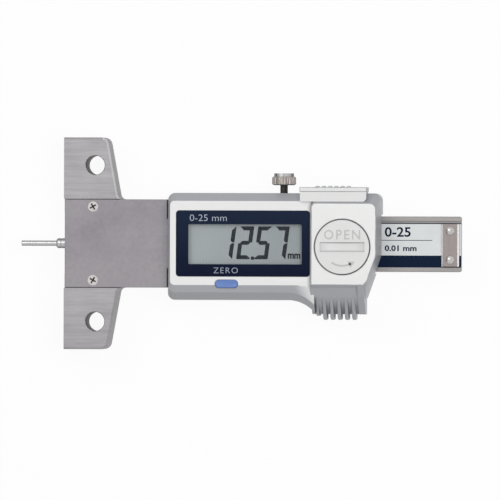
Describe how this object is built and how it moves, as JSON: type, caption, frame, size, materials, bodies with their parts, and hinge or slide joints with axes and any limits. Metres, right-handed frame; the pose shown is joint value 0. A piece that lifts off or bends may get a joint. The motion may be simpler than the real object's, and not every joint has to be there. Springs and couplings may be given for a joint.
{
  "type": "tire tread depth gauge",
  "caption": "Digital tread depth gauge: steel cross base with a slim probe pin, slider with display, key, battery lid and clamp screw, and a flat sliding beam with a stop plate.",
  "frame": {"origin": "where the probe's axis meets the measuring face of the cross base", "axes": "+X from the measuring face along the beam, +Y across it towards the clamp screw, +Z out of the display"},
  "size_m": [0.1271, 0.061, 0.022],
  "materials": {
    "base_steel": "ground steel with a fine grain across the wings",
    "plate_steel": "satin blasted steel",
    "frame_steel": "milled steel",
    "beam_steel": "ground stainless steel",
    "screw_steel": "bright screws",
    "knurl_chrome": "satin chrome with a knurl",
    "probe_steel": "hardened ground steel",
    "stopper_steel": "satin steel",
    "gib_brass": "milled brass",
    "case_silver": "pale silver paint",
    "window_navy": "polished, dark printed border with a clear field",
    "panel_glass": "grey green display glass",
    "board_green": "solder-resist green",
    "chip_black": "matt black",
    "key_blue": "satin blue",
    "cell_steel": "bright nickel",
    "contact_brass": "gilt spring metal",
    "seal_rubber": "black rubber",
    "scale_board": "bonded scale with fine tracks",
    "label_foil": "pale foil with a dark stripe"
  },
  "bodies": {
    "slider": {"base": "base_steel", "neck_plate": "plate_steel", "neck_plate_screws": "screw_steel", "frame_screws": "screw_steel", "slider_frame": "frame_steel", "gib": "gib_brass", "gib_screws": "screw_steel", "housing": "case_silver", "case_screws": "screw_steel", "case_gaskets": "seal_rubber", "display_window": "window_navy", "window_seal": "seal_rubber", "display_panel": "panel_glass", "display_connectors": "seal_rubber", "circuit_board": "board_green", "signal_chip": "chip_black", "button_switch": "contact_brass", "battery_cell": "cell_steel", "battery_contact_minus": "contact_brass", "battery_contact_plus": "contact_brass", "lid_seal": "seal_rubber", "port_cap": "case_silver", "port_contacts": "contact_brass"},
    "beam": {"beam": "beam_steel", "scale_strip": "scale_board", "beam_label": "label_foil", "stopper_plate": "stopper_steel", "stopper_screws": "screw_steel", "probe_rod": "probe_steel", "probe_pin": "probe_steel"},
    "lock": {"lock_screw": "knurl_chrome"},
    "lid": {"battery_lid": "case_silver"},
    "key": {"zero_key": "key_blue"}
  },
  "joints": [
    {"name": "beam_slide", "type": "slide", "parent": "slider", "child": "beam", "axis": [-1, 0, 0], "range_m": [-0.01257, 0.01243]},
    {"name": "lock_turn", "type": "hinge", "parent": "slider", "child": "lock", "pos_m": [0.0632, 0, 0], "axis": [0, 1, 0], "range_deg": [-40, 180]},
    {"name": "lid_turn", "type": "hinge", "parent": "slider", "child": "lid", "pos_m": [0.0808, -0.00085, 0.012], "axis": [0, 0, 1], "range_deg": [0, 60]},
    {"name": "key_press", "type": "slide", "parent": "slider", "child": "key", "axis": [0, 0, -1], "range_m": [0, 0.00045], "stiffness_N_per_m": 2500, "springref_m": -0.0002}
  ]
}
